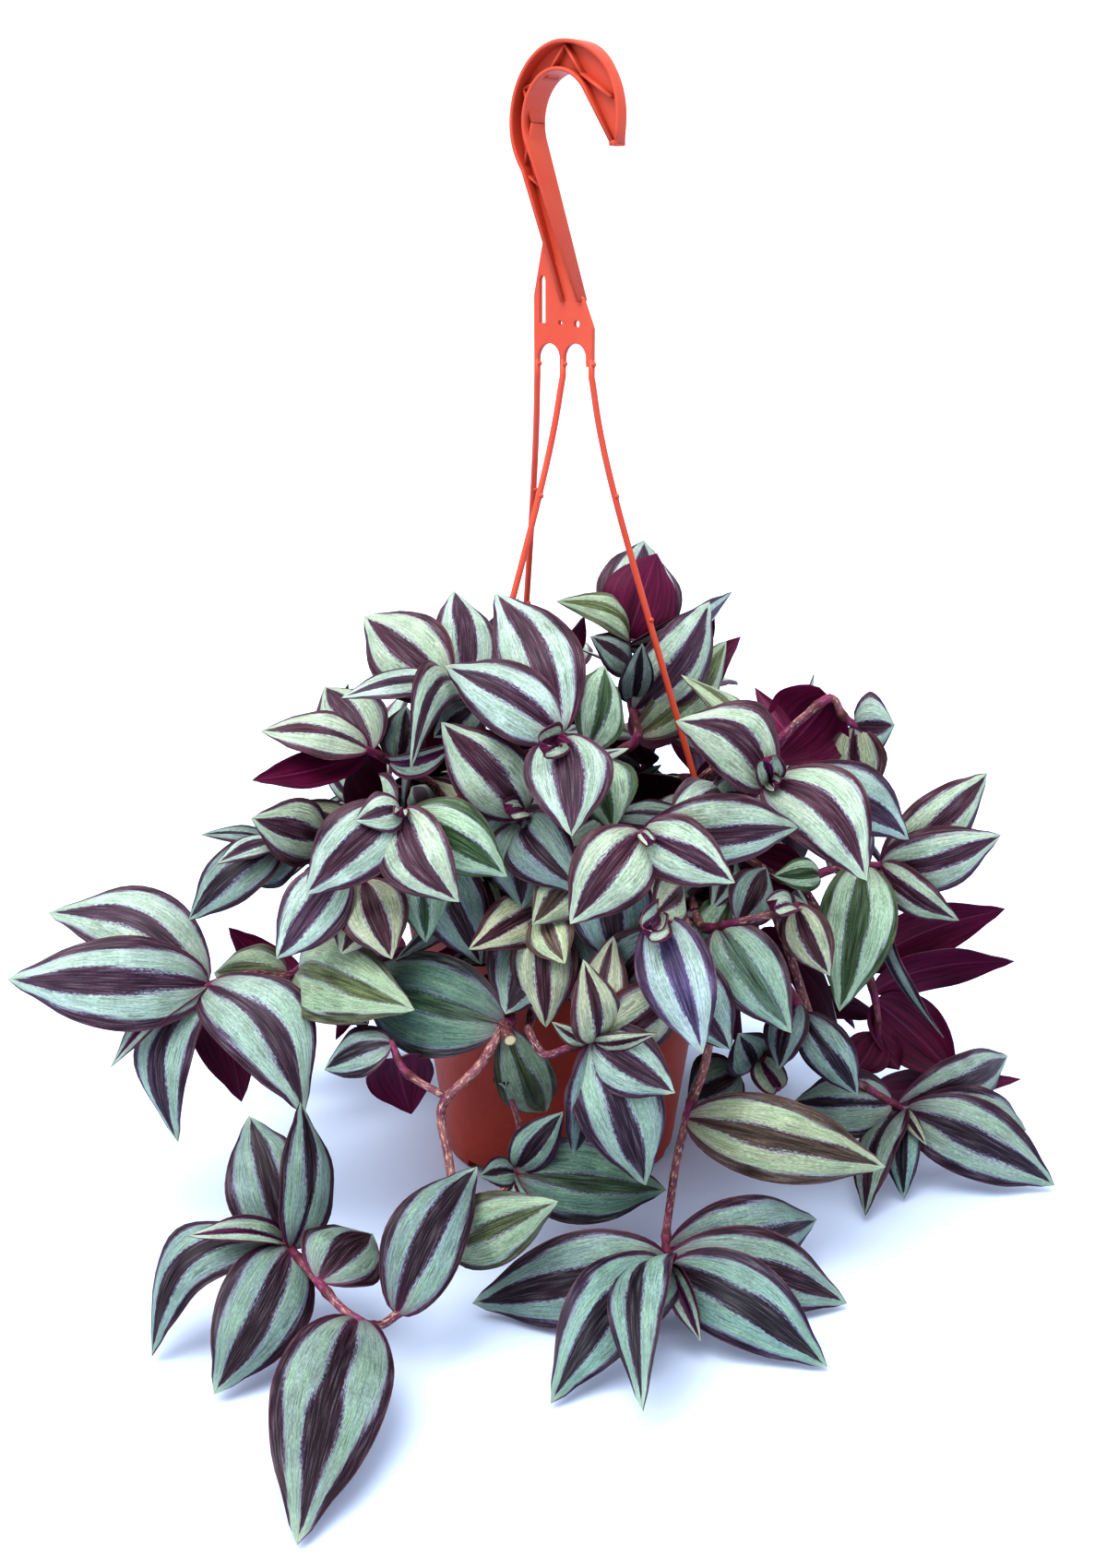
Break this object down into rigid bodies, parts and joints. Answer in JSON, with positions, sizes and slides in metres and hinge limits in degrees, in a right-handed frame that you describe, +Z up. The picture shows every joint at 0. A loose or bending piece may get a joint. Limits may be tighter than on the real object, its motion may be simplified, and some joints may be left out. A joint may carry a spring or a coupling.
{
  "type": "potted tradescantia",
  "caption": "Round hanging pot with a hook hanger and trailing leafy stems, its long pointed leaves striped in silver and purple, spread over the pot and the surface it stands on.",
  "frame": {"origin": "centre of the pot's underside, on the surface that the pot stands on", "axes": "+Z up, +X along the flat of the hook towards its open side"},
  "size_m": [0.3685, 0.4389, 0.4597],
  "materials": {
    "pot_plastic": "satin",
    "potting_mix": "matte",
    "hanger_plastic": "satin",
    "leafy_stem": "satin"
  },
  "bodies": {
    "root": {"pot": "pot_plastic", "potting_soil": "potting_mix", "hanger": "hanger_plastic", "stem_crown_front": "leafy_stem", "stem_front_high": "leafy_stem", "stem_front_mid": "leafy_stem", "stem_left_front": "leafy_stem", "stem_right_high": "leafy_stem", "stem_left_high": "leafy_stem", "stem_front_low": "leafy_stem", "stem_front_runner": "leafy_stem", "stem_front_floor": "leafy_stem", "stem_left_spray": "leafy_stem", "stem_right_arm": "leafy_stem", "stem_right_runner": "leafy_stem", "stem_right_floor": "leafy_stem", "stem_right_low": "leafy_stem", "stem_crown_top": "leafy_stem", "stem_right_twig": "leafy_stem", "stem_left_upper": "leafy_stem", "stem_left_side": "leafy_stem", "stem_left_low": "leafy_stem", "stem_middle": "leafy_stem", "stem_front_upper": "leafy_stem", "stem_right_front_low": "leafy_stem", "stem_back_high_1": "leafy_stem", "stem_back_high_2": "leafy_stem", "stem_back_high_3": "leafy_stem", "stem_back_mid_1": "leafy_stem", "stem_back_mid_2": "leafy_stem", "stem_back_mid_3": "leafy_stem", "stem_back_mid_4": "leafy_stem", "stem_back_mid_5": "leafy_stem", "stem_back_low_1": "leafy_stem", "stem_back_low_2": "leafy_stem", "stem_back_low_3": "leafy_stem", "stem_back_low_4": "leafy_stem", "stem_back_low_5": "leafy_stem", "stem_side_1": "leafy_stem", "stem_side_2": "leafy_stem", "stem_inner_1": "leafy_stem"}
  },
  "joints": []
}
